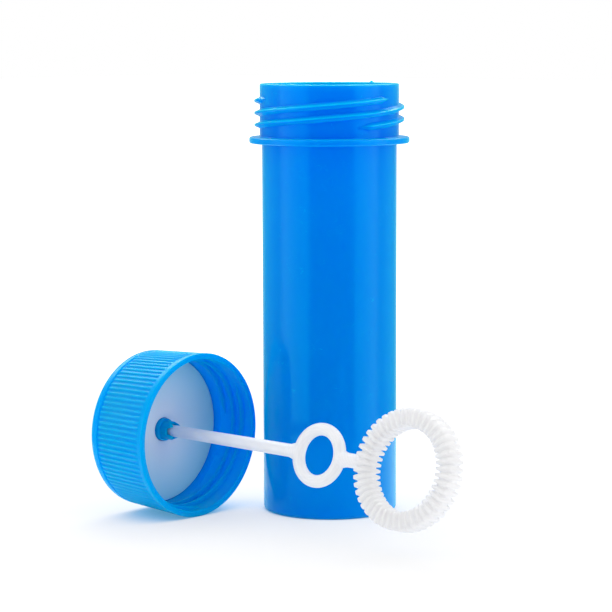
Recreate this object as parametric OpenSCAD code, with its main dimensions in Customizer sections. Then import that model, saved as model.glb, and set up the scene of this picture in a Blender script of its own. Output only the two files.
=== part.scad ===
// Bubble wand set: a standing screw-neck bottle, and beside it the screw cap
// that lies on its side and carries the white two-ring wand in its socket.
// The origin is the middle of the bottle's foot, on the surface it stands on.
// +Z is up and +X is the way that the lying cap and its wand point.

/* [Bottle] */
// Outer diameter of the bottle's body under the collar
body_d = 33.9; // [31:0.1:35]
// Outer diameter of the bottle's body at its foot
foot_d = 33.7; // [31:0.1:35]
// Height of the bottle from its foot to its rim
bottle_h = 108; // [100:0.5:130]
// Thickness of the body's wall
body_wall = 1.1; // [0.8:0.05:1.6]
// Thickness of the bottle's floor
floor_t = 1.6; // [1:0.1:3]
// Radius of the rounded edge round the foot
foot_round = 1.1; // [0.4:0.1:2]

/* [Neck] */
// Outer diameter of the neck, between its threads
neck_d = 35; // [34:0.1:36]
// Thickness of the neck's wall
neck_wall = 1.3; // [1:0.05:2]
// Height of the neck from the collar's top to the rim
neck_h = 13.3; // [13:0.1:18]
// Length of the straight bore that runs down from the rim
mouth_depth = 16; // [10:0.5:25]
// Radius of the rounded edges of the rim
rim_round = 0.35; // [0.1:0.05:0.5]
// Outer diameter of the collar under the neck
collar_d = 40.3; // [38:0.1:44]
// Thickness of the collar
collar_t = 1.6; // [1:0.1:3]
// Length of the taper between the neck's bore and the body's
throat_h = 6; // [2:0.5:15]

/* [Thread] */
// How far the thread stands out of the neck
thread_h = 1.35; // [0.8:0.05:1.5]
// Width of a thread's ridge where it leaves the neck
thread_w = 1.6; // [1:0.1:2]
// Rise of the thread in one whole turn
thread_lead = 9.15; // [7.5:0.05:10.5]
// Number of separate threads side by side
thread_starts = 3; // [2:1:4]
// Length of each thread round the neck, in degrees
thread_span = 274; // [180:1:300]
// Depth of the threads' upper ends below the rim
thread_drop = 3.65; // [3:0.05:5]
// Direction of one thread's upper end, in degrees from +X
thread_turn = 8; // [-60:1:60]

/* [Cap] */
// Height of the cap from its open rim to its closed end
cap_h = 19.6; // [17.5:0.1:24]
// Thickness of the cap's wall at the open rim
lip_wall = 1.5; // [1.3:0.05:2.5]
// Slope of the cap's side towards the closed end, in degrees
cap_draft = 3; // [0:0.1:3.5]
// Thickness of the plate that closes the cap
cap_top_t = 2.4; // [1.2:0.1:2.6]
// Radius of the rounded edge round the closed end
cap_round = 1.9; // [0.5:0.1:2.1]
// Height of the plain band next to the open rim
lip_band = 1.5; // [0.8:0.1:3]
// Height of the plain band next to the closed end
end_band = 3.1; // [2:0.1:5]
// Number of grip ribs round the cap
rib_count = 96; // [60:1:120]
// Height of a grip rib
rib_h = 0.35; // [0.15:0.05:0.5]
// Share of the rib spacing that a rib's foot fills
rib_share = 0.62; // [0.4:0.01:0.75]
// How far the cap's own thread stands in from its bore
cap_thread_h = 0.95; // [0.5:0.05:1.2]

/* [Socket] */
// Outer diameter of the collar at the socket's root
boss_d = 5.7; // [5.2:0.1:8]
// Height of that collar above the liner
boss_h = 1.1; // [1:0.1:4]
// Outer diameter of the split fingers
finger_d = 4.7; // [4.4:0.1:5.1]
// Height of the fingers above the socket's collar
finger_h = 3.4; // [2:0.1:5.5]
// Width of the slots between the fingers
slot_w = 1.5; // [0.6:0.1:1.8]
// Depth of the slots between the fingers
slot_depth = 1.4; // [0.5:0.1:3]
// Number of fingers that grip the stem
finger_count = 4; // [3:1:6]
// How much narrower a finger is at its tip, on the outside
finger_taper = 0.35; // [0.1:0.05:0.5]

/* [Liner] */
// Thickness of the sealing disc
liner_t = 1.5; // [0.8:0.1:1.8]
// How far the sealing disc reaches past the bottle's neck all round
liner_over = 1; // [0.5:0.05:1.1]

/* [Wand] */
// Diameter of the stem where the socket holds it
stem_d = 3; // [2.6:0.05:3.2]
// Diameter of the stem where it meets the small ring
stem_end_d = 3.2; // [2.8:0.05:4]
// Distance from the cap's rim to the middle of the small ring
small_ring_at = 39.75; // [32:0.05:44]
// Diameter of the small ring, along the middle of its round bar
small_ring_d = 12.65; // [11:0.05:15]
// Thickness of the small ring's round bar
small_bar_d = 3.05; // [2.5:0.05:4]
// Diameter of the neck between the two rings
link_d = 3.45; // [2.5:0.05:4]
// Distance from the middle of the small ring to the middle of the big ring
ring_spacing = 27.4; // [25:0.1:32]
// Diameter of the big ring, along the middle of its bar
big_ring_d = 24.25; // [22:0.05:25.4]
// Width of the big ring's ridges, in the plane of the ring
ridge_w = 4.65; // [4.5:0.05:5.4]
// Depth of the big ring's ridges, square to the plane of the ring
ridge_depth = 5.85; // [4.6:0.05:6.5]
// Thickness of the big ring's round core between its ridges
core_d = 4.2; // [3:0.1:4.3]
// Number of ridges round the big ring
ridge_count = 46; // [30:1:60]
// Share of the ridge spacing that a ridge's foot fills
ridge_share = 0.66; // [0.4:0.01:0.75]
// Lean of the rings' plane away from upright, in degrees
ring_lean = 15.5; // [-60:0.5:60]

/* [Place of the lying cap] */
// Gap between the bottle's body and the near side of the cap's rim
stand_gap = 2.3; // [1:0.1:20]
// Direction from the bottle to the near side of the rim, in degrees from +X
cap_bearing = 210; // [205:1:225]
// Dip of the cap and wand below level, in degrees
cap_dip = 0.8; // [0:0.1:4]

/* [Fits] */
// Radial gap between the bottle's thread and the cap's bore
thread_clear = 0.3; // [0.15:0.05:0.5]
// Radial gap round the sealing disc and in its hole
liner_clear = 0.15; // [0.05:0.05:0.3]
// Gap behind the sealing disc
liner_back_gap = 0.1; // [0.05:0.05:0.3]
// Gap between the closed cap's rim and the collar
skirt_gap = 0.4; // [0.1:0.1:1.5]
// Radial gap between the stem and the socket
stem_clear = 0.05; // [0.02:0.01:0.1]
// Gap between the stem's end and the bottom of the socket
stem_end_gap = 0.3; // [0.1:0.1:1]

/* [Hidden] */
$fn = 96;

// Cuts and joined pieces run this far into what they meet
overrun = 0.5;

// Bottle
body_r = body_d / 2;
foot_r = foot_d / 2;
neck_r = neck_d / 2;
collar_r = collar_d / 2;
mouth_r = neck_r - neck_wall;
collar_top = bottle_h - neck_h;
collar_low = collar_top - collar_t;
bore_top = bottle_h - mouth_depth;
throat_low = bore_top - throat_h;
collar_edge_share = 0.3;
shoulder_wall_share = 0.6;
shoulder_r = mouth_r + body_wall * shoulder_wall_share;

// Thread, the same rise for the bottle's and the cap's
thread_r = neck_r + thread_h;
thread_top = bottle_h - thread_drop;
thread_sink = 0.4;
thread_fade = 12;
thread_step = 8;
thread_sides = 6;
thread_faint_share = 0.45;
thread_end_share = 0.08;

// Cap, measured from its open rim with the closed end below it
cap_bore_r = thread_r + thread_clear;
lip_r = cap_bore_r + lip_wall;
liner_depth = neck_h - skirt_gap;
plate_depth = liner_depth + liner_t + liner_back_gap;
recess_depth = plate_depth + cap_top_t;
pocket_r = neck_r + liner_over + liner_clear;
pocket_len = 0.6;
pocket_taper = 1.2;
lip_chamfer = 0.3;
recess_wall = 2.2;
rib_end_share = 2;
rib_tip_share = 0.55;
cap_thread_w = 1.3;
cap_thread_first = 2.4;

// Socket
liner_hole_r = boss_d / 2 + liner_clear;
finger_tip_depth = liner_depth - boss_h - finger_h;
socket_r = stem_d / 2 + stem_clear;

// Wand, in the cap's directions
stem_root = -(plate_depth - stem_end_gap);
stem_grip_end = -finger_tip_depth + overrun;
big_ring_at = small_ring_at + ring_spacing;
small_ring_r = small_ring_d / 2;
big_ring_r = big_ring_d / 2;
ridge_corner = 0.7;
ridge_step_share = 0.6;
ridge_tip_share = 0.75;

// Place of the cap: the near side of its rim stands off the bottle's body
rim_side = body_r + stand_gap;
cap_place = [
    rim_side * cos(cap_bearing),
    rim_side * sin(cap_bearing) - lip_r,
    lip_r * cos(cap_dip)
];

// Outer radius of the cap's smooth side at a depth below its open rim
function cap_r_at(depth) = lip_r - depth * tan(cap_draft);

// How much of its height a thread has at one angle: it fades at both ends
function fade_at(angle) =
    max(thread_end_share, min(1, angle / thread_fade, (thread_span - angle) / thread_fade));

// One cross-section of a thread, as [distance outwards, distance up] points
function thread_section(height, width, strength) = [
    for (k = [0:thread_sides])
        let (swing = 180 * k / thread_sides - 90)
        [
            (height + thread_sink / 2) * strength * cos(swing) - thread_sink / 2,
            width / 2 * max(strength, thread_faint_share) * sin(swing)
        ],
    [-thread_sink, width / 2 * max(strength, thread_faint_share)],
    [-thread_sink, -width / 2 * max(strength, thread_faint_share)]
];

// One thread ridge. It climbs to its upper end at angle 0 and height 0, and
// stands out of the radius root_r if side is 1, or in from it if side is -1
module thread_ridge(root_r, height, width, side) {
    count = ceil(thread_span / thread_step);
    rings = [
        for (i = [0:count])
            let (turned = thread_span * i / count, angle = turned - thread_span)
            [
                for (p = thread_section(height, width, fade_at(turned)))
                    let (r = root_r + side * p[0])
                    [r * cos(angle), r * sin(angle), thread_lead * angle / 360 + side * p[1]]
            ]
    ];
    n = len(rings[0]);
    walls = [
        for (i = [0:count - 1], j = [0:n - 1])
            let (a = i * n + j, b = i * n + (j + 1) % n)
            [b, b + n, a + n, a]
    ];
    first = [for (j = [0:n - 1]) n - 1 - j];
    last = [for (j = [0:n - 1]) count * n + j];
    polyhedron(points = [for (ring = rings) each ring], faces = concat(walls, [first], [last]));
}

// Every thread of one set, with the upper ends at the height top
module threads(root_r, height, width, side, top, turn) {
    for (i = [0:thread_starts - 1])
        translate([0, 0, top])
            rotate([0, 0, turn + 360 * i / thread_starts])
                thread_ridge(root_r, height, width, side);
}

// Outer radius of the bottle's body at a height, widening from foot to collar
function body_r_at(height) =
    foot_r + (body_r - foot_r) * (height - foot_round) / (collar_low + overrun - foot_round);

// Half of the bottle's wall section, to be turned about its axis. Its shoulder
// under the collar is the body's own width, or wider where the mouth needs it
module bottle_section() {
    difference() {
        union() {
            polygon([
                [0, 0],
                [foot_r - foot_round, 0],
                [foot_r, foot_round],
                [body_r_at(throat_low), throat_low],
                [max(body_r_at(bore_top), shoulder_r), bore_top],
                [max(body_r, shoulder_r), collar_low + overrun],
                [neck_r, collar_low + overrun],
                [neck_r, bottle_h - rim_round],
                [neck_r - rim_round, bottle_h],
                [0, bottle_h]
            ]);
            translate([foot_r - foot_round, foot_round])
                circle(r = foot_round);
            collar_section();
        }
        bottle_hollow_section();
    }
}

// The collar's section, with its outer edge eased above and below
module collar_section() {
    edge = collar_t * collar_edge_share;
    polygon([
        [neck_r - overrun, collar_low],
        [collar_r - edge, collar_low],
        [collar_r, collar_low + edge],
        [collar_r, collar_top - edge],
        [collar_r - edge, collar_top],
        [neck_r - overrun, collar_top]
    ]);
}

// The hollow inside the bottle: floor, body, throat and mouth
module bottle_hollow_section() {
    low_r = foot_r - body_wall;
    wide_r = body_r - body_wall;
    polygon([
        [0, floor_t],
        [low_r - foot_round, floor_t],
        [low_r, floor_t + foot_round],
        [wide_r, throat_low],
        [mouth_r, bore_top],
        [mouth_r, bottle_h - rim_round],
        [mouth_r + rim_round, bottle_h],
        [mouth_r + rim_round, bottle_h + overrun],
        [0, bottle_h + overrun]
    ]);
}

module bottle() {
    color("#0080e0")
    union() {
        rotate_extrude()
            bottle_section();
        threads(neck_r, thread_h, thread_w, 1, thread_top, thread_turn);
    }
}

// Lays what it is given where the cap lies: the open rim's middle at
// cap_place, and the given +Z along the cap's axis, out of its open end
module at_cap() {
    translate(cap_place)
        rotate([0, 90 + cap_dip, 0])
            children();
}

// The cap's outer section under the ribs, with plain bands at both ends
module cap_outer_section() {
    end_r = cap_r_at(cap_h - cap_round);
    rib_low = lip_band + rib_h;
    rib_high = cap_h - end_band;
    polygon([
        [0, 0],
        [lip_r - lip_chamfer, 0],
        [lip_r, -lip_chamfer],
        [cap_r_at(lip_band), -lip_band],
        [cap_r_at(rib_low) - rib_h, -rib_low],
        [cap_r_at(rib_high) - rib_h, -rib_high],
        [cap_r_at(rib_high + rib_h), -rib_high - rib_h],
        [end_r, cap_round - cap_h],
        [end_r - cap_round, -cap_h],
        [0, -cap_h]
    ]);
    translate([end_r - cap_round, cap_round - cap_h])
        circle(r = cap_round);
}

// The envelope of the ribs: their tops follow the cap's slope and their ends ease in
module rib_envelope_section() {
    low = lip_band;
    high = cap_h - end_band + rib_h;
    ease = rib_h * rib_end_share;
    polygon([
        [0, -low],
        [cap_r_at(low) - rib_h, -low],
        [cap_r_at(low + ease), -low - ease],
        [cap_r_at(high - ease), ease - high],
        [cap_r_at(high) - rib_h, -high],
        [0, -high]
    ]);
}

// All the ribs' sides: spokes that are wider at their feet than at their tops
module rib_spokes() {
    foot_r = cap_r_at(cap_h) - rib_h;
    pitch = 360 / rib_count;
    foot_w = foot_r * sin(pitch * rib_share);
    for (i = [0:rib_count - 1])
        rotate([0, 0, pitch * i])
            polygon([
                [foot_r - overrun, -foot_w / 2],
                [lip_r, -foot_w * rib_tip_share / 2],
                [lip_r, foot_w * rib_tip_share / 2],
                [foot_r - overrun, foot_w / 2]
            ]);
    circle(r = foot_r - overrun / 2);
}

module ribs() {
    intersection() {
        rotate_extrude()
            rib_envelope_section();
        translate([0, 0, -cap_h])
            linear_extrude(height = cap_h)
                rib_spokes();
    }
}

// The hollow inside the cap: threaded bore, taper and the liner's pocket
module cap_hollow_section() {
    pocket_start = liner_depth - pocket_len;
    polygon([
        [0, overrun],
        [cap_bore_r + lip_chamfer, overrun],
        [cap_bore_r + lip_chamfer, 0],
        [cap_bore_r, -lip_chamfer],
        [cap_bore_r, pocket_taper - pocket_start],
        [pocket_r, -pocket_start],
        [pocket_r, -plate_depth],
        [0, -plate_depth]
    ]);
}

// The shallow recess in the middle of the closed end
module cap_recess() {
    translate([0, 0, -cap_h - overrun])
        cylinder(r = cap_r_at(cap_h) - recess_wall, h = cap_h - recess_depth + overrun);
}

// The socket's outside: a collar at its root, then the tapering fingers
module socket_body() {
    root = -plate_depth - overrun;
    collar_end = boss_h - liner_depth;
    tip = -finger_tip_depth;
    translate([0, 0, root])
        cylinder(d = boss_d, h = collar_end - root);
    translate([0, 0, root])
        cylinder(d = finger_d, h = tip - slot_depth - root);
    translate([0, 0, tip - slot_depth])
        cylinder(d1 = finger_d, d2 = finger_d - 2 * finger_taper, h = slot_depth);
}

// The slots that split the socket's end into fingers
module socket_slots() {
    for (i = [0:finger_count - 1])
        rotate([0, 0, 360 * i / finger_count])
            translate([0, -slot_w / 2, -finger_tip_depth - slot_depth])
                cube([boss_d, slot_w, slot_depth + overrun]);
}

module cap() {
    color("#0090f0")
    at_cap()
    difference() {
        union() {
            difference() {
                union() {
                    rotate_extrude()
                        cap_outer_section();
                    ribs();
                }
                rotate_extrude()
                    cap_hollow_section();
                cap_recess();
            }
            threads(cap_bore_r, cap_thread_h, cap_thread_w, -1, -cap_thread_first, thread_turn);
            socket_body();
        }
        socket_slots();
        translate([0, 0, -plate_depth])
            cylinder(r = socket_r, h = plate_depth);
    }
}

module liner() {
    color("#dfe6f0")
    at_cap()
    translate([0, 0, -liner_depth - liner_t])
    difference() {
        cylinder(r = pocket_r - liner_clear, h = liner_t);
        translate([0, 0, -overrun])
            cylinder(r = liner_hole_r, h = liner_t + 2 * overrun);
    }
}

// A ring with its middle at the distance at along the stem
module ring_at(at) {
    translate([0, 0, at])
        rotate([90, 0, 0])
            children();
}

// The cross-section of a ridge, a block with its corners cut: as thick as the
// core at a share of 0, and as thick as the whole ridge at a share of 1
module ridge_section(share) {
    w = core_d + (ridge_w - core_d) * share;
    depth = core_d + (ridge_depth - core_d) * share;
    translate([big_ring_r, 0])
        polygon([
            [w / 2, ridge_corner - depth / 2],
            [w / 2, depth / 2 - ridge_corner],
            [w / 2 - ridge_corner, depth / 2],
            [ridge_corner - w / 2, depth / 2],
            [-w / 2, depth / 2 - ridge_corner],
            [-w / 2, ridge_corner - depth / 2],
            [ridge_corner - w / 2, -depth / 2],
            [w / 2 - ridge_corner, -depth / 2]
        ]);
}

// One step of all the big ring's ridges, which are wide at the foot and narrower
// at the tip. One ridge lies where the ring meets the wand's axis
module ridges(height_share, width_share) {
    ridge_angle = 360 / ridge_count * width_share;
    for (i = [0:ridge_count - 1])
        rotate([0, 0, 90 + 360 * i / ridge_count - ridge_angle / 2])
            rotate_extrude(angle = ridge_angle)
                ridge_section(height_share);
}

module wand() {
    color("white")
    at_cap()
    rotate([0, 0, -ring_lean])
    union() {
        translate([0, 0, stem_root])
            cylinder(d = stem_d, h = stem_grip_end - stem_root);
        translate([0, 0, stem_grip_end])
            cylinder(d1 = stem_d, d2 = stem_end_d, h = small_ring_at - small_ring_r - stem_grip_end);
        translate([0, 0, small_ring_at + small_ring_r])
            cylinder(d = link_d, h = ring_spacing - small_ring_r - big_ring_r);
        ring_at(small_ring_at)
            rotate_extrude()
                translate([small_ring_r, 0])
                    circle(d = small_bar_d);
        ring_at(big_ring_at) {
            rotate_extrude()
                translate([big_ring_r, 0])
                    circle(d = core_d);
            ridges(ridge_step_share, ridge_share);
            ridges(1, ridge_share * ridge_tip_share);
        }
    }
}

bottle();
cap();
liner();
wand();
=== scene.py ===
"""Looks of the bubble wand set: a blue screw-neck bottle, the ribbed cap that lies
in front of it with its sealing disc, and the white two-ring wand in the cap's socket.
Lengths are millimetres while a piece is shaped, and metres once it is in place."""

import math

import bmesh
import bpy
from mathutils import Matrix, Vector


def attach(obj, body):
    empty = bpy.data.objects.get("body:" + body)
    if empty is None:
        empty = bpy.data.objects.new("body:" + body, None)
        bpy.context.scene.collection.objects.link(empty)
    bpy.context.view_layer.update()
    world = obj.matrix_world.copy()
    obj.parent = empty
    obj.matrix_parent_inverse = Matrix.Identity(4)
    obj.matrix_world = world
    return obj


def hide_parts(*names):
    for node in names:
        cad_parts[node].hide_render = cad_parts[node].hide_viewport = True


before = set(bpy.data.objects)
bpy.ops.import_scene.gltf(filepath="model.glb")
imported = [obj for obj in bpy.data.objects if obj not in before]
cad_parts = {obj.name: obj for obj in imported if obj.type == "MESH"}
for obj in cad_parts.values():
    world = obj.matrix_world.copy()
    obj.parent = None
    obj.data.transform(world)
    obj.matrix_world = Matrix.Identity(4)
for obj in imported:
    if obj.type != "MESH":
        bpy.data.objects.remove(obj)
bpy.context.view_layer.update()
MM = 0.001
FULL_TURN = 2 * math.pi
# Width in millimetres under which a sliver that a join leaves is closed up
SLIVER = 0.02

# Bottle
BODY_R = 16.95
FOOT_R = 16.85
HEIGHT = 108.0
BODY_WALL = 1.1
FLOOR_T = 1.6
FOOT_ROUND = 1.1
NECK_R = 17.5
MOUTH_R = 16.2
RIM_ROUND = 0.35
COLLAR_R = 20.15
COLLAR_LOW = 93.1
COLLAR_TOP = 94.7
BORE_LOW = 92.0
THROAT_LOW = 86.0
COLLAR_EDGE = 0.5
COLLAR_FILLET = 0.3
# Height of the rows of points on the neck, and of the band below the rim made paler by painted
# light through the thin wall
NECK_ROW = 0.1
THIN_NECK = 1.4
# Fleck of moulding flash on the rim: bearing in degrees, height, and half width
FLECK_BEARING = 90.5
FLECK_H = 0.5
FLECK_W = 0.35

# Thread: first what the neck and the cap share, with angles in degrees. Partings are
# bearings of the mould's joint in whole turns.
THREAD = {"Lead": 9.15, "Starts": 3, "Turn": 8.0, "Span": 274.0, "Fade": 12.0}
NECK_THREAD_TOP = 104.35
NECK_THREAD_H = 1.35
NECK_THREAD_W = 1.6
NECK_PARTING = -93 / 360
CAP_THREAD_TOP = -2.4
CAP_THREAD_H = 0.95
CAP_THREAD_W = 1.3
CAP_PARTING = 0.1

# Cap, along its own axis from the open rim down to the closed end
CAP_H = 19.6
LIP_R = 20.65
DRAFT = math.radians(3)
CAP_ROUND = 1.9
BORE_R = 19.15
LIP_BAND = 1.5
END_BAND = 3.1
BORE_THREAD_LOW = 11.0
BORE_ROW = 0.12
RIBS = 96
RIB_H = 0.35
# Points across one rib, as shares of the rib spacing from the rib's middle
RIB_POINTS = (-0.5, -0.34, -0.25, -0.13, 0.0, 0.13, 0.25, 0.34)
POCKET_R = 18.65
PLATE_DEPTH = 14.5
RECESS_DEPTH = 16.9
RECESS_WALL = 2.2
LIP_EDGE = 0.3
BOSS_R = 2.85
BOSS_TIP = -11.8
FINGER_R = 2.35
FINGER_TIP = -8.4
FINGER_TIP_R = 2.0
SLOT_W = 1.5
SLOT_DEPTH = 1.4
SOCKET_R = 1.55
# How many times wider the slots are above the fingers than at their foot
SLOT_FLARE = 1.8

# Sealing disc
LINER_R = 18.5
LINER_HOLE_R = 3.0
LINER_TOP = -12.9
LINER_T = 1.5
# Radius where the disc's painted blue bounce light from the cap starts, and the distance over
# which it grows to full
LINER_PAINTED_BLUE_FROM = 5.0
LINER_PAINTED_BLUE_OVER = 13.5

# Wand, along the cap's axis
STEM_ROOT = -14.2
STEM_GRIP_END = -7.9
STEM_R = 1.5
STEM_END_R = 1.6
SMALL_AT = 39.75
SMALL_R = 6.325
SMALL_BAR_R = 1.525
LINK_R = 1.725
BIG_AT = 67.15
BIG_R = 12.125
RIDGE_HALF_W = 2.325
RIDGE_HALF_DEPTH = 2.925
RIDGE_CORE_R = 2.1
RIDGES = 46
RING_LEAN = 15.5
# Share by which the stem and the short neck widen where they run into a ring
FOOT_SPREAD = 0.3
LINK_SPREAD = 0.22

# Place of the lying cap: the middle of its open rim, and its dip below level
CAP_PLACE = (-16.671, -30.275, 20.648)
CAP_DIP = 0.8
AT_CAP = Matrix.Translation(CAP_PLACE) @ Matrix.Rotation(math.radians(90 + CAP_DIP), 4, "Y")
AT_WAND = AT_CAP @ Matrix.Rotation(math.radians(-RING_LEAN), 4, "Z")

# Camera
EYE = Vector((412.5, -471.7, 122.26)) * MM
LOOK_BEARING = math.radians(131.717)
LOOK_DOWN = math.radians(6.4143)
LOOK_ROLL = math.radians(-0.1576)
LENS = 146.44
EYE_BEARING = math.radians(-48.83)

# Studio: the floor's own brightness, its glow, and a painted blue shadow in that glow close to
# the pieces, standing in for light through the blue plastic. The floor fades into the background
# over FLOOR_FADE metres from the middle, and glossy surfaces see through it beyond OPEN_FLOOR.
FLOOR_SEEN = 0.5
FLOOR_GLOW = 0.5
FLOOR_PAINTED_SHADOW = (0.15, 0.55, 0.9, 1)
FLOOR_FADE = (0.12, 0.5)
OPEN_FLOOR = (0.1, 0.16)
PAINTED_SHADOW_REACH = 0.02
# Where the studio's parts begin and are whole, in degrees from the camera, or as
# the height of a direction, from 0 at the horizon to 1 straight up
RIGHT_PANEL = (41, 46)
LEFT_PANEL = (-34, -37)
TOP_PANEL = (0.62, 0.8)
PANELS_END = (78, 98)
BACKDROP = (146, 160)
HIGH_BACK = (110, 140)
HIGH_BACK_HEIGHT = (0.35, 0.6)
# How bright each part is in reflections (gloss) and as light (soft)
GAP_GLOSS = 0.2
PANEL_GLOSS = 1.9
BACK_GLOSS = 0.12
BACKDROP_GLOSS = 0.5
HIGH_BACK_GLOSS = 3.6
GAP_SOFT = 0.46
PANEL_SOFT = 1.07
# Distance of the lamps from the point that they are aimed at, and that point, in metres
LAMP_AWAY = 0.9
LAMPS_AIM = (0.01, -0.015, 0.04)
# Width in metres of the faint clouds in the plastics' colour
CLOUD_SIZE = 0.014


def set_up_camera():
    """Stands the camera a little above the bottle's rim, looking slightly down."""
    ahead = Vector((
        math.cos(LOOK_BEARING) * math.cos(LOOK_DOWN),
        math.sin(LOOK_BEARING) * math.cos(LOOK_DOWN),
        -math.sin(LOOK_DOWN),
    ))
    side = ahead.cross(Vector((0, 0, 1))).normalized()
    above = side.cross(ahead)
    right = side * math.cos(LOOK_ROLL) + above * math.sin(LOOK_ROLL)
    up = above * math.cos(LOOK_ROLL) - side * math.sin(LOOK_ROLL)
    data = bpy.data.cameras.new("camera")
    data.lens = LENS
    data.clip_start = 0.01
    camera = bpy.data.objects.new("camera", data)
    bpy.context.scene.collection.objects.link(camera)
    turn = Matrix((right, up, -ahead)).transposed().to_4x4()
    camera.matrix_world = Matrix.Translation(EYE) @ turn
    bpy.context.scene.camera = camera


def corner(middle_r, middle_z, radius, start, stop, steps=5):
    """Points along a rounded corner of an outline, angles in degrees."""
    turns = [math.radians(start + (stop - start) * i / steps) for i in range(steps + 1)]
    return [(middle_r + radius * math.cos(a), middle_z + radius * math.sin(a)) for a in turns]


def spaced(start, stop, count):
    """Points from one outline point to another, both left out."""
    shares = [i / count for i in range(1, count)]
    return [tuple(a + (b - a) * s for a, b in zip(start, stop)) for s in shares]


class Outline:
    """Half of a turned piece's section, point by point. The ring at a point uses
    every stride-th angle of the piece, and carries the zone that a shaper works on.
    Its crest is the share of the finish's second colour that is painted light, standing in for
    light through a thin edge, highlights and bounce light."""

    def __init__(self, stride=1):
        self.points = []
        self.stride = stride

    def run(self, points, stride=None, zone=None, crest=0.0):
        self.stride = stride or self.stride
        self.points.extend((r, z, self.stride, zone, crest) for r, z in points)


def turned_mesh(name, outline, angles, closed=False):
    """Turns an outline about the Z axis into a closed shell with its faces outwards."""
    work = bmesh.new()
    names = sorted({zone for *_, zone, _ in outline.points if zone})
    zones = {zone: work.verts.layers.float.new(zone) for zone in names}
    crests = work.verts.layers.float.new("crest")
    rings = []
    for radius, height, stride, zone, crest in outline.points:
        used = [0.0] if radius == 0 else angles[::stride]
        ring = [work.verts.new((radius * math.cos(a), radius * math.sin(a), height)) for a in used]
        for vert in ring:
            vert[crests] = crest
            if zone:
                vert[zones[zone]] = 1.0
        rings.append(ring)
    for low, high in zip(rings, rings[1:] + (rings[:1] if closed else [])):
        join_rings(work, low, high)
    mesh = bpy.data.meshes.new(name)
    work.to_mesh(mesh)
    work.free()
    return mesh


def join_rings(work, low, high):
    """Faces between two rings, either of which may be a pole or have fewer points."""
    count = min(len(ring) for ring in (low, high) if len(ring) > 1)
    steps = [max(1, len(ring) // count) for ring in (low, high)]
    for k in range(count):
        first, second = (
            ring[:1] if len(ring) == 1
            else [ring[(k * step + i) % len(ring)] for i in range(step + 1)]
            for ring, step in zip((low, high), steps)
        )
        face = work.faces.new(first + second[::-1])
        face.smooth = True


def even_angles(count):
    return [FULL_TURN * i / count for i in range(count)]


class Nodes:
    """Adds nodes to a tree."""

    def __init__(self, tree):
        self.tree = tree

    def add(self, kind, inputs=(), **settings):
        """A new node. An input that is a socket is linked, and any other is set."""
        node = self.tree.nodes.new(kind)
        for key, value in settings.items():
            setattr(node, key, value)
        for key, value in dict(inputs).items():
            if isinstance(value, bpy.types.NodeSocket):
                self.tree.links.new(value, node.inputs[key])
            else:
                node.inputs[key].default_value = value
        return node

    def math(self, operation, *values):
        return self.add("ShaderNodeMath", enumerate(values), operation=operation).outputs[0]

    def vector(self, operation, inputs):
        """Result of a vector operation."""
        return self.add("ShaderNodeVectorMath", inputs, operation=operation).outputs[0]

    def length(self, vector):
        node = self.add("ShaderNodeVectorMath", {0: vector}, operation="LENGTH")
        return node.outputs["Value"]

    def ease(self, value, start, stop, low=0.0, high=1.0):
        """Maps start..stop to low..high, smoothly and without going past."""
        inputs = {
            "Value": value, "From Min": start, "From Max": stop, "To Min": low, "To Max": high,
        }
        node = self.add("ShaderNodeMapRange", inputs, interpolation_type="SMOOTHSTEP")
        return node.outputs["Result"]

    def mix(self, share, first, second):
        """A number between two, at a share."""
        inputs = {0: share, 2: first, 3: second}
        return self.add("ShaderNodeMix", inputs, data_type="FLOAT").outputs[0]

    def mix_colours(self, share, first, second):
        """A colour between two, at a share."""
        inputs = {0: share, 6: first, 7: second}
        return self.add("ShaderNodeMix", inputs, data_type="RGBA").outputs[2]


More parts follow.
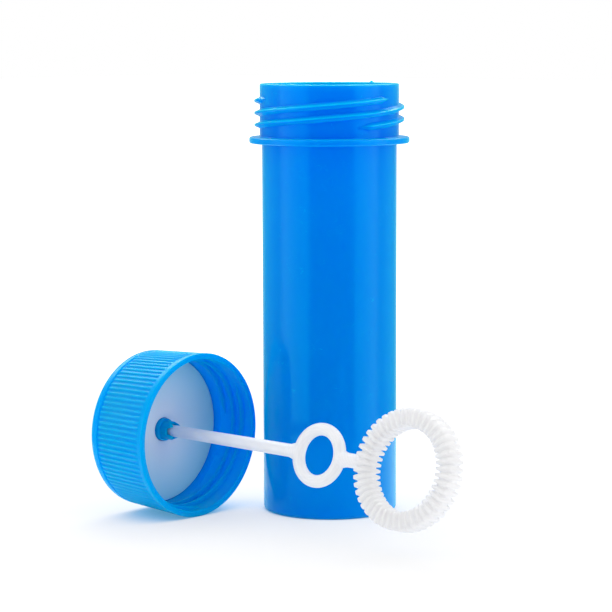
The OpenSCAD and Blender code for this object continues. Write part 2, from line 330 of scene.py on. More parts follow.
class Shaper(Nodes):
    """A Geometry Nodes tree that moves one zone of a surface, with its sizes as
    named inputs. It also stores crest, the share of painted light in the finish's second
    colour: 0 in the hollows and up to 1 on the tops."""

    def __init__(self, name, zone, sizes):
        super().__init__(bpy.data.node_groups.new(name, "GeometryNodeTree"))
        self.zone = zone
        sockets = self.tree.interface
        sockets.new_socket("Surface", in_out="INPUT", socket_type="NodeSocketGeometry")
        for label in sizes:
            sockets.new_socket(label, in_out="INPUT", socket_type="NodeSocketFloat")
        sockets.new_socket("Finish", in_out="INPUT", socket_type="NodeSocketMaterial")
        sockets.new_socket("Surface", in_out="OUTPUT", socket_type="NodeSocketGeometry")
        self.sizes = self.add("NodeGroupInput").outputs
        place = self.add("GeometryNodeInputPosition").outputs[0]
        self.x, self.y, self.z = self.add("ShaderNodeSeparateXYZ", {0: place}).outputs
        self.place = place

    def turns(self, sideways, ahead):
        """Angle of a point in whole turns, from -0.5 to 0.5."""
        return self.math("DIVIDE", self.math("ARCTAN2", sideways, ahead), FULL_TURN)

    def away_from_axis(self):
        """Unit vector straight out from the Z axis."""
        flat = self.add("ShaderNodeCombineXYZ", {0: self.x, 1: self.y}).outputs[0]
        return self.vector("NORMALIZE", {0: flat})

    def stored(self, name):
        """A number that the surface carries at each point, 0 where it has none."""
        node = self.add("GeometryNodeInputNamedAttribute", {"Name": name}, data_type="FLOAT")
        return node.outputs["Attribute"]

    def close(self, outwards, distance, crest):
        """Ends the tree: moves the zone's points, stores their crest of painted light, sets the
        finish.
        """
        zone = self.stored(self.zone)
        amount = self.math("MULTIPLY", distance, zone)
        shift = self.vector("SCALE", {0: outwards, "Scale": amount})
        moved = self.add(
            "GeometryNodeSetPosition", {0: self.sizes["Surface"], "Offset": shift}
        )
        top = self.math("MAXIMUM", self.math("MULTIPLY", crest, zone), self.stored("crest"))
        stored = self.add(
            "GeometryNodeStoreNamedAttribute",
            {"Geometry": moved.outputs[0], "Name": "crest", "Value": top},
            data_type="FLOAT",
            domain="POINT",
        )
        whole = self.add("GeometryNodeRealizeInstances", {0: stored.outputs[0]})
        finished = self.add(
            "GeometryNodeSetMaterial", {0: whole.outputs[0], "Material": self.sizes["Finish"]}
        )
        self.add("NodeGroupOutput", {0: finished.outputs[0]})
        return self.tree


def screw_thread_tree():
    """Raises the ridges of a screw thread out of a round wall, or in from it, with a fine
    mark where the mould's halves met, and a painted highlight: a paler upper side and a
    light line along the upper edge. Parting is in whole turns, and Side is 1 outwards and -1
    inwards."""
    s = Shaper("Screw thread", "thread zone", (
        "Lead", "Starts", "Top", "Turn", "Span", "Fade", "Height", "Width", "Side", "Parting",
        "Painted light",
    ))
    size = s.sizes
    around = s.turns(s.y, s.x)
    past_end = s.math("SUBTRACT", around, s.math("DIVIDE", size["Turn"], 360.0))
    climbed = s.math("DIVIDE", s.math("SUBTRACT", s.z, size["Top"]), size["Lead"])
    track = s.math("MULTIPLY", s.math("SUBTRACT", climbed, past_end), size["Starts"])
    astray = s.math("SUBTRACT", track, s.math("ROUND", track))
    beside = s.math("DIVIDE", s.math("MULTIPLY", astray, size["Lead"]), size["Starts"])
    along = s.math("SUBTRACT", climbed, s.math("DIVIDE", beside, size["Lead"]))
    degrees = s.math("MULTIPLY", along, 360.0)
    from_low_end = s.math("ADD", degrees, size["Span"])
    from_top_end = s.math("MULTIPLY", degrees, -1.0)
    nearest_end = s.math("MINIMUM", from_low_end, from_top_end)
    strength = s.ease(nearest_end, 0.0, size["Fade"])
    half = s.math("MULTIPLY", size["Width"], 0.5)
    half = s.math("MULTIPLY", half, s.math("MAXIMUM", strength, 0.45))
    off = s.math("DIVIDE", s.math("ABSOLUTE", beside), half)
    crest = s.math("MULTIPLY", s.ease(off, 1.2, 0.2), strength)
    half_turns = s.math("MULTIPLY", s.math("SUBTRACT", around, size["Parting"]), 2.0)
    from_parting = s.math("SUBTRACT", s.math("FRACT", s.math("ADD", half_turns, 0.5)), 0.5)
    flash = s.ease(s.math("ABSOLUTE", from_parting), 0.0045, 0.0)
    mark = s.math("MULTIPLY", flash, s.math("MULTIPLY", s.ease(crest, 0.15, 0.5), 0.07))
    height = s.math("ADD", s.math("MULTIPLY", crest, size["Height"]), mark)
    # Painted highlight: the thread's upper side and a line near its upper edge take the paler
    # colour, as if lit from above.
    upper_side = s.ease(beside, -0.35, 0.3)
    line = s.ease(s.math("ABSOLUTE", s.math("SUBTRACT", beside, 0.3)), 0.35, 0.1)
    shade = s.math("ADD", s.math("MULTIPLY", upper_side, 0.35), s.math("MULTIPLY", line, 0.65))
    painted_light = s.math("MULTIPLY", s.math("MULTIPLY", crest, shade), size["Painted light"])
    return s.close(s.away_from_axis(), s.math("MULTIPLY", height, size["Side"]), painted_light)


def grip_rib_tree():
    """Sinks the hollows between the grip ribs of a cap whose axis is Z, and puts a painted
    highlight on the rib tops.
    """
    s = Shaper("Grip ribs", "rib zone", (
        "Count", "Height", "Start", "End", "Foot", "Tip", "Painted light",
    ))
    size = s.sizes
    depth = s.math("MULTIPLY", s.z, -1.0)
    ribs_round = s.math("MULTIPLY", s.turns(s.y, s.x), size["Count"])
    wave = s.math("FRACT", s.math("ADD", ribs_round, 0.5))
    off = s.math("ABSOLUTE", s.math("SUBTRACT", wave, 0.5))
    rib = s.ease(off, size["Foot"], size["Tip"])
    past_start = s.math("SUBTRACT", depth, size["Start"])
    before_end = s.math("SUBTRACT", size["End"], depth)
    inside = s.math("DIVIDE", s.math("MINIMUM", past_start, before_end), size["Height"])
    hollow = s.math("MULTIPLY", s.ease(inside, 0.0, 1.2), -1.0)
    crest = s.math("MULTIPLY", rib, s.ease(inside, 0.3, 2.2))
    share = s.math("MAXIMUM", hollow, s.math("SUBTRACT", crest, 1.0))
    # Painted highlight: the rib tops take a share of the paler colour.
    painted_light = s.math("MULTIPLY", crest, size["Painted light"])
    return s.close(s.away_from_axis(), s.math("MULTIPLY", share, size["Height"]), painted_light)


def ring_ridge_tree():
    """Draws a ring whose axis is Z in to its round core between its ridges, with
    one ridge at the angle First, in whole turns."""
    s = Shaper("Ring ridges", "ridge zone", ("Count", "First", "Ring radius", "Core radius"))
    size = s.sizes
    past_first = s.math("SUBTRACT", s.turns(s.y, s.x), size["First"])
    wave = s.math("FRACT", s.math("ADD", s.math("MULTIPLY", past_first, size["Count"]), 0.5))
    off = s.math("MULTIPLY", s.math("ABSOLUTE", s.math("SUBTRACT", wave, 0.5)), 2.0)
    ridge = s.ease(off, 0.82, 0.44)
    bar = s.vector("SCALE", {0: s.away_from_axis(), "Scale": size["Ring radius"]})
    out = s.vector("SUBTRACT", {0: s.place, 1: bar})
    way = s.vector("NORMALIZE", {0: out})
    height = s.math("SUBTRACT", s.length(out), size["Core radius"])
    sunk = s.math("MULTIPLY", s.math("SUBTRACT", ridge, 1.0), height)
    # The ridge share is stored as crest, which the wand's finish turns into painted shade on the
    # ridge tops.
    return s.close(way, sunk, ridge)


def finished_mesh(obj):
    """The mesh that an object's modifiers lead to, as a plain mesh of its own."""
    graph = bpy.context.evaluated_depsgraph_get()
    return bpy.data.meshes.new_from_object(
        obj.evaluated_get(graph), preserve_all_data_layers=True, depsgraph=graph,
    )


def shaped(mesh, steps, finish):
    """Runs shaper trees over a mesh, one after another, and gives back a plain mesh."""
    obj = bpy.data.objects.new("being shaped", mesh)
    bpy.context.scene.collection.objects.link(obj)
    for tree, sizes in steps:
        modifier = obj.modifiers.new(tree.name, "NODES")
        modifier.node_group = tree
        for item in tree.interface.items_tree:
            if item.in_out == "INPUT" and item.name in sizes:
                modifier[item.identifier] = float(sizes[item.name])
            elif item.in_out == "INPUT" and item.name == "Finish":
                modifier[item.identifier] = finish
    plain = finished_mesh(obj)
    obj.modifiers.clear()
    bpy.data.objects.remove(obj)
    return plain


def joined(name, meshes, cutters=()):
    """One closed mesh of several that overlap, with cutter meshes taken away."""
    obj = bpy.data.objects.new(name, meshes[0])
    bpy.context.scene.collection.objects.link(obj)
    tools = []
    jobs = [(mesh, "UNION") for mesh in meshes[1:]] + [(mesh, "DIFFERENCE") for mesh in cutters]
    for mesh, operation in jobs:
        tool = bpy.data.objects.new("tool", mesh)
        bpy.context.scene.collection.objects.link(tool)
        tools.append(tool)
        modifier = obj.modifiers.new("join", "BOOLEAN")
        modifier.operation = operation
        modifier.solver = "EXACT"
        modifier.object = tool
    plain = finished_mesh(obj)
    obj.modifiers.clear()
    for o in [obj] + tools:
        bpy.data.objects.remove(o)
    weld(plain)
    return plain


def weld(mesh):
    """Closes up the slivers, up to SLIVER wide, that a join leaves in a mesh."""
    work = bmesh.new()
    work.from_mesh(mesh)
    bmesh.ops.remove_doubles(work, verts=work.verts, dist=SLIVER)
    bmesh.ops.dissolve_degenerate(work, edges=work.edges, dist=SLIVER)
    work.to_mesh(mesh)
    work.free()


def piece(name, mesh, place, finish, body):
    """Puts a shaped mesh in its place in metres, where it stands for the solid of
    the body that it moves with."""
    mesh.transform(Matrix.Scale(MM, 4) @ place)
    mesh.materials.clear()
    mesh.materials.append(finish)
    mesh.name = name
    obj = bpy.data.objects.new(name, mesh)
    bpy.context.scene.collection.objects.link(obj)
    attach(obj, body)
    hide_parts(body)


def moulded_skin_group():
    """The skin that all the mouldings share: clouding of the colour, a slight orange
    peel, and sparse hairline scuffs."""
    tree = bpy.data.node_groups.new("Moulded skin", "ShaderNodeTree")
    for label in ("Cloud size", "Peel size", "Scuff amount"):
        tree.interface.new_socket(label, in_out="INPUT", socket_type="NodeSocketFloat")
    for label in ("Cloud", "Scuff", "Relief"):
        tree.interface.new_socket(label, in_out="OUTPUT", socket_type="NodeSocketFloat")
    m = Nodes(tree)
    size = m.add("NodeGroupInput").outputs
    place = m.add("ShaderNodeTexCoord").outputs["Object"]

    def noise(width, detail, distortion=0.0):
        scale = m.math("DIVIDE", 1.0, width)
        return m.add("ShaderNodeTexNoise", {
            "Vector": place, "Scale": scale, "Detail": detail, "Distortion": distortion,
        }).outputs["Fac"]

    cloud = noise(size["Cloud size"], 3.0)
    peel = noise(size["Peel size"], 2.0)
    fine = noise(m.math("MULTIPLY", size["Peel size"], 0.22), 2.0)
    vein = noise(m.math("MULTIPLY", size["Peel size"], 3.5), 1.0, 1.4)
    where = noise(m.math("MULTIPLY", size["Peel size"], 5.0), 1.0)
    line = m.ease(m.math("ABSOLUTE", m.math("SUBTRACT", vein, 0.5)), 0.0, 0.008, 1.0, 0.0)
    sparse = m.ease(where, 0.56, 0.64, 0.0, 1.0)
    scuff = m.math("MULTIPLY", m.math("MULTIPLY", line, sparse), size["Scuff amount"])
    relief = m.math("ADD", peel, m.math("MULTIPLY", fine, 0.25))
    relief = m.math("SUBTRACT", relief, m.math("MULTIPLY", scuff, 0.4))
    m.add("NodeGroupOutput", {"Cloud": cloud, "Scuff": scuff, "Relief": relief})
    return tree


def moulded_finish(name, skin, first, second, roughness, gloss_tint, peel=0.0009, relief=0.000004,
                   scuffs=0.6, glow=0.0, glow_depths=(0.001, 0.001, 0.001), painted_light_share=0.35,
                   cloud_share=0.3, sheen=0.0, ior=1.47):
    """A moulded plastic between two near colours, with more of the second one in its
    clouds and in its scuffs, and painted light and shade where its crest attribute marks it."""
    material = bpy.data.materials.new(name)
    material.use_nodes = True
    tree = material.node_tree
    shader = tree.nodes["Principled BSDF"]
    m = Nodes(tree)
    surface = m.add("ShaderNodeGroup", node_tree=skin)
    surface.inputs["Cloud size"].default_value = CLOUD_SIZE
    surface.inputs["Peel size"].default_value = peel
    surface.inputs["Scuff amount"].default_value = scuffs
    # The crest attribute carries painted light and shade: the share of the second colour on thin
    # edges, ridge tops and the disc's rim.
    crest = m.add("ShaderNodeAttribute", attribute_name="crest").outputs["Fac"]
    cloud = m.ease(surface.outputs["Cloud"], 0.3, 0.7, 0.0, cloud_share)
    share = m.math("ADD", cloud, m.math("MULTIPLY", crest, painted_light_share))
    share = m.math("ADD", share, m.math("MULTIPLY", surface.outputs["Scuff"], 0.5))
    colour = m.mix_colours(share, (*first, 1), (*second, 1))
    tree.links.new(colour, shader.inputs["Base Color"])
    rough = m.math("ADD", roughness, m.math("MULTIPLY", surface.outputs["Scuff"], 0.2))
    rough = m.math("ADD", rough, m.ease(surface.outputs["Cloud"], 0.3, 0.7, -0.02, 0.03))
    tree.links.new(rough, shader.inputs["Roughness"])
    bump = m.add("ShaderNodeBump", {
        "Height": surface.outputs["Relief"], "Strength": 1.0, "Distance": relief,
    })
    tree.links.new(bump.outputs[0], shader.inputs["Normal"])
    shader.inputs["Specular Tint"].default_value = (*gloss_tint, 1)
    shader.inputs["Sheen Weight"].default_value = sheen
    shader.inputs["Sheen Roughness"].default_value = 0.6
    shader.inputs["Sheen Tint"].default_value = (*gloss_tint, 1)
    shader.inputs["IOR"].default_value = ior
    shader.inputs["Subsurface Weight"].default_value = glow
    shader.inputs["Subsurface Radius"].default_value = glow_depths
    shader.inputs["Subsurface Scale"].default_value = 1.0
    return material


def make_bottle(finish, threads):
    """The bottle: foot, body, collar, threaded neck, rim, throat and inside."""
    out = Outline()
    edge, fillet = COLLAR_EDGE, COLLAR_FILLET
    neck_low, neck_high = COLLAR_TOP + 0.55, HEIGHT - RIM_ROUND
    inner_r, foot_inner_r = BODY_R - BODY_WALL, FOOT_R - BODY_WALL
    out.run([(0, 0.3), (1.1, 0.3), (1.4, 0.22), (1.6, 0.0), (2.2, 0.0)], 8)
    out.run([(FOOT_R - FOOT_ROUND - 1.0, 0.0)], 4)
    out.run(corner(FOOT_R - FOOT_ROUND, FOOT_ROUND, FOOT_ROUND, -90, 0, 8), 1)
    out.run(spaced((FOOT_R, FOOT_ROUND), (BODY_R, COLLAR_LOW - fillet), 14))
    out.run(corner(BODY_R + fillet, COLLAR_LOW - fillet, fillet, 180, 90, 5))
    out.run([(COLLAR_R - edge - 0.6, COLLAR_LOW)])
    # From here on, crest values are painted light: highlights on the collar's edges, a neck band
    # and rim that grow paler to the top, and a light mouth, as light through the thin wall.
    out.run(corner(COLLAR_R - edge, COLLAR_LOW + edge, edge, -90, 0, 6), crest=0.05)
    out.run(corner(COLLAR_R - edge, COLLAR_TOP - edge, edge, 0, 90, 6), crest=0.15)
    out.run([(COLLAR_R - edge - 0.6, COLLAR_TOP)])
    out.run(corner(NECK_R + fillet, COLLAR_TOP + fillet, fillet, 270, 180, 5))
    thin_low = neck_high - THIN_NECK
    rows = round((thin_low - neck_low) / NECK_ROW)
    out.run([(NECK_R, neck_low)])
    out.run(spaced((NECK_R, neck_low), (NECK_R, thin_low), rows), zone="thread zone")
    for step, point in enumerate(spaced((NECK_R, thin_low), (NECK_R, neck_high), 15)):
        out.run([point], zone="thread zone", crest=0.015 * step)
    outer_corner = corner(NECK_R - RIM_ROUND, HEIGHT - RIM_ROUND, RIM_ROUND, 0, 90, 6)
    for step, point in enumerate(outer_corner):
        out.run([point], crest=0.25 + 0.12 * step)
    out.run(corner(MOUTH_R + RIM_ROUND, HEIGHT - RIM_ROUND, RIM_ROUND, 90, 180, 6), crest=1.0)
    out.run([(MOUTH_R, HEIGHT - 1.2), (MOUTH_R, HEIGHT - 2.5)], crest=1.0)
    out.run([(MOUTH_R, HEIGHT - 2.8)], crest=0.6)
    out.run(spaced((MOUTH_R, HEIGHT - 2.8), (MOUTH_R, BORE_LOW), 5), 2)
    out.run([(MOUTH_R, BORE_LOW + 0.3), (MOUTH_R, BORE_LOW), (MOUTH_R - 0.03, BORE_LOW - 0.5)])
    out.run([(inner_r + 0.02, THROAT_LOW + 0.4), (inner_r, THROAT_LOW)])
    out.run(spaced((inner_r, THROAT_LOW), (foot_inner_r, FLOOR_T + FOOT_ROUND), 10))
    out.run(corner(foot_inner_r - FOOT_ROUND, FLOOR_T + FOOT_ROUND, FOOT_ROUND, 0, -90, 6))
    out.run([(9.0, FLOOR_T)], 4)
    out.run([(3.0, FLOOR_T), (0, FLOOR_T)], 8)
    mesh = turned_mesh("bottle", out, even_angles(384))
    raise_fleck(mesh)
    # The thread's painted light is a painted highlight along its upper edge.
    sizes = THREAD | {
        "Top": NECK_THREAD_TOP, "Height": NECK_THREAD_H, "Width": NECK_THREAD_W,
        "Side": 1, "Parting": NECK_PARTING, "Painted light": 0.7,
    }
    mesh = shaped(mesh, [(threads, sizes)], finish)
    piece("bottle_shell", mesh, Matrix.Identity(4), finish, "bottle")


def raise_fleck(mesh):
    """Raises the fleck of plastic that the mould left on the rim where its halves met."""
    way = math.radians(FLECK_BEARING)
    edge_r = MOUTH_R + RIM_ROUND
    middle = Vector((edge_r * math.cos(way), edge_r * math.sin(way)))
    for vert in mesh.vertices:
        if vert.co.z > HEIGHT - RIM_ROUND / 2:
            off = (vert.co.to_2d() - middle).length / FLECK_W
            vert.co.z += FLECK_H * math.exp(-off * off)


def side_r(depth):
    """Radius of the cap's side at a depth below its open rim."""
    return LIP_R - depth * math.tan(DRAFT)


def make_cap(finish, threads, ribs):
    """The cap: recessed closed end, ribbed side, lip, threaded bore and socket."""
    out = Outline()
    recess_r = side_r(CAP_H) - RECESS_WALL
    end_r = side_r(CAP_H - CAP_ROUND)
    rib_end = CAP_H - END_BAND + RIB_H
    out.run([(0, 0.15 - RECESS_DEPTH), (0.9, 0.15 - RECESS_DEPTH), (1.2, -RECESS_DEPTH)], 16)
    out.run([(6.0, -RECESS_DEPTH)], 8)
    out.run([(recess_r - 1.0, -RECESS_DEPTH)], 4)
    out.run(corner(recess_r - 0.3, -RECESS_DEPTH - 0.3, 0.3, 90, 0, 3), 2)
    out.run(corner(recess_r + 0.3, -CAP_H + 0.3, 0.3, 180, 270, 3))
    out.run(corner(end_r - CAP_ROUND, CAP_ROUND - CAP_H, CAP_ROUND, -90, 0, 7))
    depths = [rib_end + 0.5, rib_end + 0.05]
    depths += [rib_end - RIB_H * k for k in (0.15, 0.4, 0.7, 1.0, 1.4, 1.9, 2.4)]
    depths += [rib_end - 2.0 - (rib_end - LIP_BAND - 4.0) * k / 6 for k in range(7)]
    depths += [LIP_BAND + RIB_H * k for k in (2.4, 1.9, 1.4, 1.0, 0.7, 0.4, 0.15)]
    depths += [LIP_BAND - 0.05, LIP_BAND - 0.4]
    out.run([(side_r(d), -d) for d in depths], 1, "rib zone")
    # The lip's crest values are a faint painted highlight on its edges.
    out.run(corner(LIP_R - LIP_EDGE, -LIP_EDGE, LIP_EDGE, 0, 90, 4), 2, crest=0.08)
    out.run(corner(BORE_R + LIP_EDGE, -LIP_EDGE, LIP_EDGE, 90, 180, 4), crest=0.08)
    bore_top, bore_low = (BORE_R, -1.2), (BORE_R, -BORE_THREAD_LOW)
    rows = round((bore_top[1] - bore_low[1]) / BORE_ROW)
    out.run([(BORE_R, -0.7), bore_top])
    out.run(spaced(bore_top, bore_low, rows), zone="thread zone")
    out.run([bore_low, (BORE_R, -11.1), (POCKET_R, -12.3), (POCKET_R, -12.6)])
    out.run([(POCKET_R, 0.2 - PLATE_DEPTH), (POCKET_R - 0.2, -PLATE_DEPTH)])
    out.run([(11.0, -PLATE_DEPTH)], 4)
    out.run([(5.0, -PLATE_DEPTH)], 8)
    out.run(corner(BOSS_R + 0.2, 0.2 - PLATE_DEPTH, 0.2, 270, 180, 2))
    # The crest values on the boss's rim and the finger tips are painted highlights.
    out.run(corner(BOSS_R - 0.3, BOSS_TIP - 0.3, 0.3, 0, 90, 3), crest=0.05)
    out.run([(FINGER_R + 0.1, BOSS_TIP), (FINGER_R, BOSS_TIP + 0.12)])
    out.run([(FINGER_R, FINGER_TIP - SLOT_DEPTH)])
    tip_edge = [(FINGER_TIP_R + 0.05, FINGER_TIP - 0.3), (FINGER_TIP_R - 0.08, FINGER_TIP - 0.05)]
    out.run(tip_edge, crest=0.5)
    out.run([(FINGER_TIP_R - 0.18, FINGER_TIP), (SOCKET_R + 0.12, FINGER_TIP)], crest=0.9)
    out.run([(SOCKET_R, FINGER_TIP - 0.2), (SOCKET_R, -PLATE_DEPTH), (0, -PLATE_DEPTH)])
    angles = [FULL_TURN * (k + share) / RIBS for k in range(RIBS) for share in RIB_POINTS]
    mesh = turned_mesh("cap", out, angles)
    # Painted light: a painted highlight on the rib tops, and a faint one on the bore's thread.
    rib_sizes = {
        "Count": RIBS, "Height": RIB_H, "Start": LIP_BAND, "End": rib_end,
        "Foot": 0.33, "Tip": 0.07, "Painted light": 0.15,
    }
    thread_sizes = THREAD | {
        "Top": CAP_THREAD_TOP, "Height": CAP_THREAD_H, "Width": CAP_THREAD_W,
        "Side": -1, "Parting": CAP_PARTING, "Painted light": 0.05,
    }
    mesh = shaped(mesh, [(ribs, rib_sizes), (threads, thread_sizes)], finish)
    mesh = joined("cap", [mesh], [slot_cutter()])
    piece("screw_cap", mesh, AT_CAP, finish, "cap")


def slot_cutter():
    """A cross-shaped block, wider at its top, that splits the socket's end into four
    pointed fingers."""
    work = bmesh.new()
    reach = BOSS_R + 1.0
    foot, top = SLOT_W / 2, SLOT_W / 2 * SLOT_FLARE
    rings = []
    for half, z in ((foot, FINGER_TIP - SLOT_DEPTH), (top, FINGER_TIP + 1.0)):
        ring = []
        for turn in range(4):
            c, s = round(math.cos(turn * math.pi / 2)), round(math.sin(turn * math.pi / 2))
            for x, y in ((half, half), (half, reach), (-half, reach)):
                ring.append(work.verts.new((x * c - y * s, x * s + y * c, z)))
        rings.append(ring)
    low, high = rings
    work.faces.new(low[::-1])
    work.faces.new(high)
    for i in range(len(low)):
        j = (i + 1) % len(low)
        work.faces.new((low[i], low[j], high[j], high[i]))
    mesh = bpy.data.meshes.new("slot cutter")
    work.to_mesh(mesh)
    work.free()
    return mesh


def make_liner(finish):
    """The sealing disc, with its edges slightly rounded and a hole for the socket. Its
    crest is painted blue bounce light from the cap's walls, growing from the middle to the edge."""
    out = Outline(2)
    low, soft = LINER_TOP - LINER_T, 0.15
    out.run([(6.0, low), (12.0, low)])
    # The crest values are painted blue bounce light from the cap's walls, growing to the edge.
    out.run(corner(LINER_R - soft, low + soft, soft, -90, 0, 3), 1, crest=1.0)
    out.run(corner(LINER_R - soft, LINER_TOP - soft, soft, 0, 90, 3), crest=1.0)
    for radius in (17.0, 15.5, 14.0, 12.5, 11.0, 9.5, 8.0, 6.5, 5.0):
        out.run([(radius, LINER_TOP)], 2, crest=(radius - LINER_PAINTED_BLUE_FROM) / LINER_PAINTED_BLUE_OVER)
    out.run(corner(LINER_HOLE_R + soft, LINER_TOP - soft, soft, 90, 180, 3))
    out.run(corner(LINER_HOLE_R + soft, low + soft, soft, 180, 270, 3))
    mesh = turned_mesh("liner", out, even_angles(256), closed=True)
    piece("sealing_disc", mesh, AT_CAP, finish, "liner")


def ring_mesh(name, ring_r, half_w, half_depth, around, across, squareness=2.0, zone=None):
    """A ring about the Z axis whose bar is half_w by half_depth from its middle, round
    at a squareness of 2 and nearer to a block with rounded corners above that."""
    points = []
    for i in range(across):
        c, s = math.cos(FULL_TURN * i / across), math.sin(FULL_TURN * i / across)
        reach = (abs(c) ** squareness + abs(s) ** squareness) ** (-1 / squareness)
        points.append((ring_r + half_w * reach * c, half_depth * reach * s))
    out = Outline()
    out.run(points, zone=zone)
    return turned_mesh(name, out, even_angles(around), closed=True)


def stem_mesh(points):
    """A round bar along Z with closed ends."""
    out = Outline()
    out.run([(0, points[0][1])] + points + [(0, points[-1][1])])
    return turned_mesh("stem", out, even_angles(96))


def spread_foot(mesh, start, stop, growth):
    """Widens a bar sideways between two heights, as a moulded fillet into a ring."""
    for vert in mesh.vertices:
        share = min(1.0, max(0.0, (vert.co.z - start) / (stop - start)))
        vert.co.x *= 1 + growth * share * share * (3 - 2 * share)


def make_wand(finish, ridges):
    """The wand: stem, small plain ring, short neck and big ridged ring."""
    into_ring = [Matrix.Translation((0, 0, at)) @ Matrix.Rotation(math.radians(90), 4, "X")
                 for at in (SMALL_AT, BIG_AT)]
    small = ring_mesh("small ring", SMALL_R, SMALL_BAR_R, SMALL_BAR_R, 128, 32)
    small.transform(into_ring[0])
    big = ring_mesh(
        "big ring", BIG_R, RIDGE_HALF_W, RIDGE_HALF_DEPTH, RIDGES * 10, 40, 5.0, "ridge zone",
    )
    sizes = {
        "Count": RIDGES, "First": 0.25, "Ring radius": BIG_R, "Core radius": RIDGE_CORE_R,
    }
    big = shaped(big, [(ridges, sizes)], finish)
    big.transform(into_ring[1])
    stem_top = SMALL_AT - SMALL_R
    edge = stem_top - SMALL_BAR_R
    low = [(STEM_R - 0.3, STEM_ROOT), (STEM_R, STEM_ROOT + 0.4), (STEM_R, STEM_GRIP_END)]
    slope = spaced((STEM_R, STEM_GRIP_END), (STEM_END_R, edge - 2.4), 12)
    foot = spaced((STEM_END_R, edge - 2.4), (STEM_END_R, edge + 0.8), 12)
    stem = stem_mesh(low + slope + foot + [(STEM_END_R - 0.25, stem_top)])
    spread_foot(stem, edge - 1.6, edge + 0.5, FOOT_SPREAD)
    link_low, link_high = SMALL_AT + SMALL_R, BIG_AT - BIG_R
    near, far = link_low + SMALL_BAR_R, link_high - RIDGE_CORE_R
    middle = (near + far) / 2
    link = stem_mesh(
        [(LINK_R - 0.3, link_low), (LINK_R - 0.1, near - 0.5)]
        + spaced((LINK_R, near - 0.2), (LINK_R, far + 0.2), 16)
        + [(LINK_R - 0.1, far + 0.6), (LINK_R - 0.3, link_high)]
    )
    for vert in link.vertices:
        spread = abs(vert.co.z - middle) / (far - middle)
        vert.co.x *= 1 + LINK_SPREAD * min(1.0, spread) ** 4
    mesh = joined("wand", [big, link, small, stem])
    piece("bubble_wand", mesh, AT_WAND, finish, "wand")


def make_floor():
    """A white floor that fades into the white background but keeps the shadows, and has a
    painted blue shadow close to the pieces, where an occlusion test tints its glow. Past the set,
    glossy surfaces see through it."""
    half = 4.0
    mesh = bpy.data.meshes.new("floor")
    corners = [(-half, -half, 0), (half, -half, 0), (half, half, 0), (-half, half, 0)]
    mesh.from_pydata(corners, [], [(0, 1, 2, 3)])
    floor = bpy.data.objects.new("floor", mesh)
    bpy.context.scene.collection.objects.link(floor)
    material = bpy.data.materials.new("white floor")
    material.use_nodes = True
    tree = material.node_tree
    tree.nodes.clear()
    m = Nodes(tree)
    place = m.add("ShaderNodeTexCoord").outputs["Object"]
    away = m.length(place)
    # Painted shadow: where the pieces are near, the floor's glow turns blue.
    near = m.add("ShaderNodeAmbientOcclusion", {"Distance": PAINTED_SHADOW_REACH}, samples=8)
    open_share = m.ease(near.outputs["AO"], 0.1, 0.6)
    glow = m.add("ShaderNodeEmission", {
        "Color": m.mix_colours(open_share, FLOOR_PAINTED_SHADOW, (1, 1, 1, 1)),
        "Strength": m.ease(away, *FLOOR_FADE, FLOOR_GLOW, 1.0),
    })
    grey = m.add("ShaderNodeBsdfDiffuse", {"Color": (FLOOR_SEEN, FLOOR_SEEN, FLOOR_SEEN, 1)})
    seen = m.add("ShaderNodeAddShader", {0: grey.outputs[0], 1: glow.outputs[0]})
    white = m.add("ShaderNodeBsdfDiffuse", {"Color": (0.96, 0.96, 0.97, 1)})
    gone = m.add("ShaderNodeBsdfTransparent")
    path = m.add("ShaderNodeLightPath").outputs
    open_floor = m.math("MULTIPLY", path["Is Glossy Ray"], m.ease(away, *OPEN_FLOOR))
    lit_by = {0: open_floor, 1: white.outputs[0], 2: gone.outputs[0]}
    base = m.add("ShaderNodeMixShader", lit_by)
    to_camera = {0: path["Is Camera Ray"], 1: base.outputs[0], 2: seen.outputs[0]}
    mix = m.add("ShaderNodeMixShader", to_camera)
    m.add("ShaderNodeOutputMaterial", {"Surface": mix.outputs[0]})
    mesh.materials.append(material)


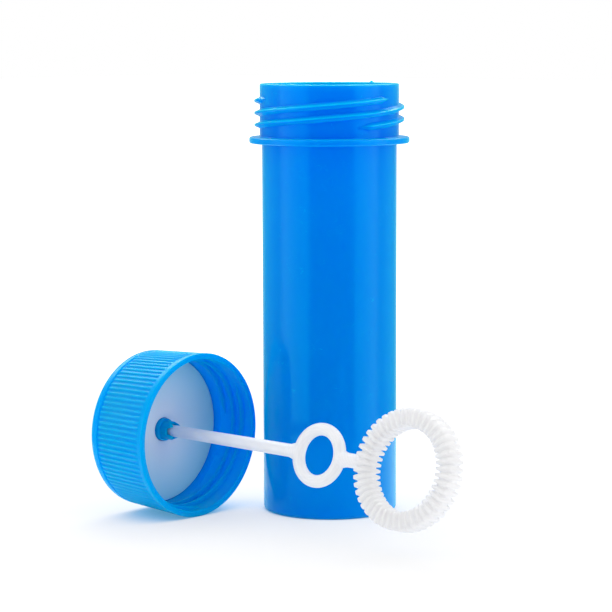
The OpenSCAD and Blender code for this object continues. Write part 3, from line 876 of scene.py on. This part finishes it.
def set_up_world():
    """A white studio: bright panels at the sides and on top, with a darker gap towards
    the camera that shows as the deep band down the middle of round glossy pieces. Behind
    the set are a dim back, a brighter backdrop, and a high panel that lights the ribs."""
    world = bpy.data.worlds.new("studio")
    bpy.context.scene.world = world
    world.use_nodes = True
    tree = world.node_tree
    tree.nodes.clear()
    m = Nodes(tree)
    way = m.add("ShaderNodeTexCoord").outputs["Generated"]
    x, y, z = m.add("ShaderNodeSeparateXYZ", {0: way}).outputs
    bearing = m.math("SUBTRACT", m.math("ARCTAN2", y, x), EYE_BEARING)
    wrap = {0: bearing, 1: math.pi, 2: -math.pi}
    bearing = m.add("ShaderNodeMath", wrap, operation="WRAP").outputs[0]
    degrees = m.math("MULTIPLY", bearing, 180 / math.pi)
    away = m.math("ABSOLUTE", degrees)
    beside = m.math("MAXIMUM", m.ease(degrees, *RIGHT_PANEL), m.ease(degrees, *LEFT_PANEL))
    top = m.ease(z, *TOP_PANEL)
    lit = m.math("MAXIMUM", beside, top)
    behind = m.math("MULTIPLY", m.ease(away, *PANELS_END), m.math("SUBTRACT", 1.0, top))
    back = m.ease(away, *BACKDROP, BACK_GLOSS, BACKDROP_GLOSS)
    high = m.math("MULTIPLY", m.ease(away, *HIGH_BACK), m.ease(z, *HIGH_BACK_HEIGHT))
    gloss = m.ease(lit, 0.0, 1.0, GAP_GLOSS, PANEL_GLOSS)
    gloss = m.mix(behind, gloss, back)
    gloss = m.mix(high, gloss, HIGH_BACK_GLOSS)
    soft = m.ease(lit, 0.0, 1.0, GAP_SOFT, PANEL_SOFT)
    path = m.add("ShaderNodeLightPath").outputs
    strength = m.mix(path["Is Camera Ray"], m.mix(path["Is Glossy Ray"], soft, gloss), 1.0)
    glow = m.add("ShaderNodeBackground", {"Color": (1, 1, 1, 1), "Strength": strength})
    m.add("ShaderNodeOutputWorld", {"Surface": glow.outputs[0]})


def add_panel(name, bearing, height, width, power):
    """A soft square lamp, aimed at the middle of the set. Bearing and height are in
    degrees, bearing with 0 at the camera and positive to its right."""
    data = bpy.data.lights.new(name, "AREA")
    data.shape = "SQUARE"
    data.size = width
    data.energy = power
    lamp = bpy.data.objects.new(name, data)
    bpy.context.scene.collection.objects.link(lamp)
    turn = EYE_BEARING + math.radians(bearing)
    tilt = math.radians(height)
    flat = math.cos(tilt)
    way = Vector((math.cos(turn) * flat, math.sin(turn) * flat, math.sin(tilt)))
    lamp.location = Vector(LAMPS_AIM) + way * LAMP_AWAY
    lamp.rotation_euler = way.to_track_quat("Z", "Y").to_euler()


set_up_camera()
bpy.context.scene.view_settings.view_transform = "Standard"
set_up_world()
make_floor()
add_panel("key panel", bearing=180, height=52, width=0.5, power=2.0)
add_panel("fill panel", bearing=55, height=15, width=0.4, power=0.42)

skin = moulded_skin_group()
# The second, paler blue is painted light: painted highlights on thread, collar and rim, and
# painted light through the thin neck and mouth.
bottle_blue = moulded_finish(
    "bottle blue", skin, (0, 0.2, 0.91), (0, 0.6, 1.0), 0.14, (0.0, 0.9, 1.0),
    glow=0.8, glow_depths=(0.001, 0.002, 0.003), painted_light_share=0.9, cloud_share=0.025, sheen=0.65,
)
# The second, paler blue is painted light: painted highlights on the rib tops, lip and finger tips.
cap_blue = moulded_finish(
    "cap blue", skin, (0, 0.365, 0.925), (0, 0.56, 1.0), 0.17, (0.0, 0.9, 1.0),
    glow=1.0, glow_depths=(0.001, 0.002, 0.003), painted_light_share=0.9, cloud_share=0.025,
    sheen=0.4, ior=1.28,
)
# The second, darker white is painted shade on the ridge tops, which evens out the shading between
# ridges and hollows.
wand_white = moulded_finish(
    "wand white", skin, (0.91, 0.905, 0.91), (0.84, 0.84, 0.84), 0.34, (1.0, 1.0, 1.0),
    glow=1.0, glow_depths=(0.004, 0.004, 0.004), painted_light_share=0.72, cloud_share=0.2,
)
# The second, bluer white is painted bounce light from the cap's blue walls, strongest at the
# disc's edge.
liner_white = moulded_finish(
    "liner white", skin, (0.84, 0.94, 0.98), (0.42, 0.9, 0.98), 0.4, (1.0, 1.0, 1.0),
    peel=0.0005, relief=0.000006, scuffs=0.1, painted_light_share=1.0, cloud_share=0.05,
)

threads = screw_thread_tree()
make_bottle(bottle_blue, threads)
make_cap(cap_blue, threads, grip_rib_tree())
make_liner(liner_white)
make_wand(wand_white, ring_ridge_tree())
